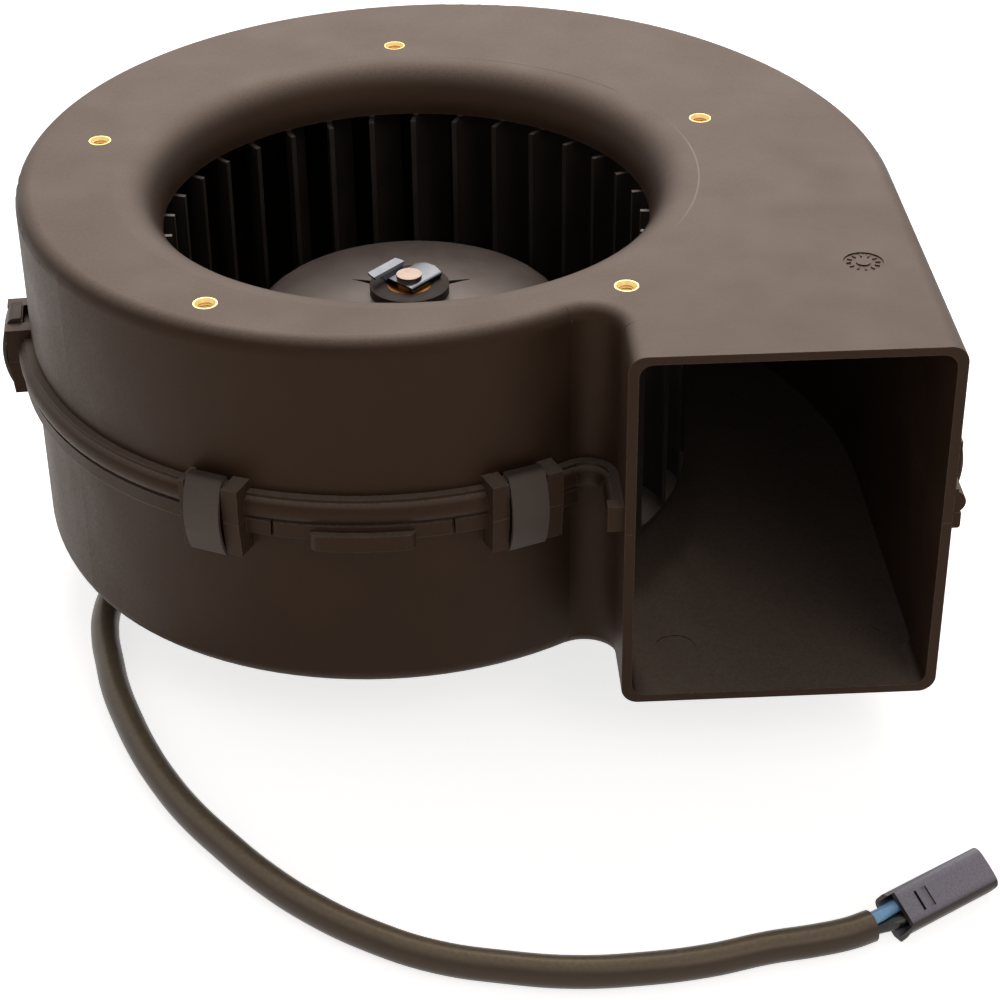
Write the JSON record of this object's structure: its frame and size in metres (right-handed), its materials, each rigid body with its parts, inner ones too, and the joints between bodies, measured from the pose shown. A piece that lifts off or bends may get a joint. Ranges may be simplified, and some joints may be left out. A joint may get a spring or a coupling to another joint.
{
  "type": "dc centrifugal blower",
  "caption": "Single-inlet centrifugal blower: split volute housing held by spring clips, bladed wheel on a motor shaft, rectangular outlet and a short lead with a connector.",
  "frame": {"origin": "centre of the motor's flat end face, on which the blower stands, on the impeller axis", "axes": "+Z along the impeller axis towards the inlet; the outlet faces -Y; +X is to the right seen from the outlet side"},
  "size_m": [0.2875, 0.3637, 0.14],
  "materials": {
    "housing_plastic": "moulded black glass-filled nylon",
    "brass": "turned and knurled",
    "clip_steel": "dark phosphated spring steel",
    "wheel_plastic": "moulded black nylon",
    "bush_bronze": "sintered bronze",
    "zinc_plate": "bright zinc plated",
    "shaft_steel": "ground",
    "can_steel": "black passivated",
    "cap_plastic": "moulded",
    "magnet": "sintered ferrite",
    "lamination": "stacked sheet",
    "copper": "enamelled",
    "carbon": "pressed carbon",
    "phenolic": "moulded phenolic",
    "rubber": "moulded",
    "sleeve": "smooth extruded",
    "wire_blue": "extruded insulation",
    "wire_black": "extruded insulation",
    "connector_plastic": "moulded"
  },
  "bodies": {
    "housing": {"upper_housing": "housing_plastic", "lower_housing": "housing_plastic", "inlet_inserts": "brass", "clip_1": "clip_steel", "clip_2": "clip_steel", "clip_3": "clip_steel", "clip_4": "clip_steel", "clip_5": "clip_steel", "clip_6": "clip_steel", "clip_7": "clip_steel", "motor_can": "can_steel", "motor_front_cap": "can_steel", "motor_rear_cap": "cap_plastic", "front_bush": "bush_bronze", "rear_bush": "bush_bronze", "magnet_1": "magnet", "magnet_2": "magnet", "brush_holder": "phenolic", "brush_1": "carbon", "brush_2": "carbon", "brush_spring_1": "shaft_steel", "brush_spring_2": "shaft_steel", "motor_flange": "can_steel", "flange_gasket": "rubber", "flange_screws": "zinc_plate", "cable_gland": "rubber", "cable": "sleeve", "wire_blue": "wire_blue", "wire_black": "wire_black", "connector_housing": "connector_plastic", "connector_terminal_1": "brass", "connector_terminal_2": "brass"},
    "rotor": {"impeller_hub": "wheel_plastic", "impeller_blades": "wheel_plastic", "impeller_rim": "wheel_plastic", "hub_bush": "bush_bronze", "hub_clip": "zinc_plate", "motor_shaft": "shaft_steel", "armature_core": "lamination", "armature_windings": "copper", "commutator": "copper"}
  },
  "joints": [
    {"name": "impeller_spin", "type": "hinge", "parent": "housing", "child": "rotor", "pos_m": [0, 0, 0], "axis": [0, 0, 1], "continuous": true}
  ]
}
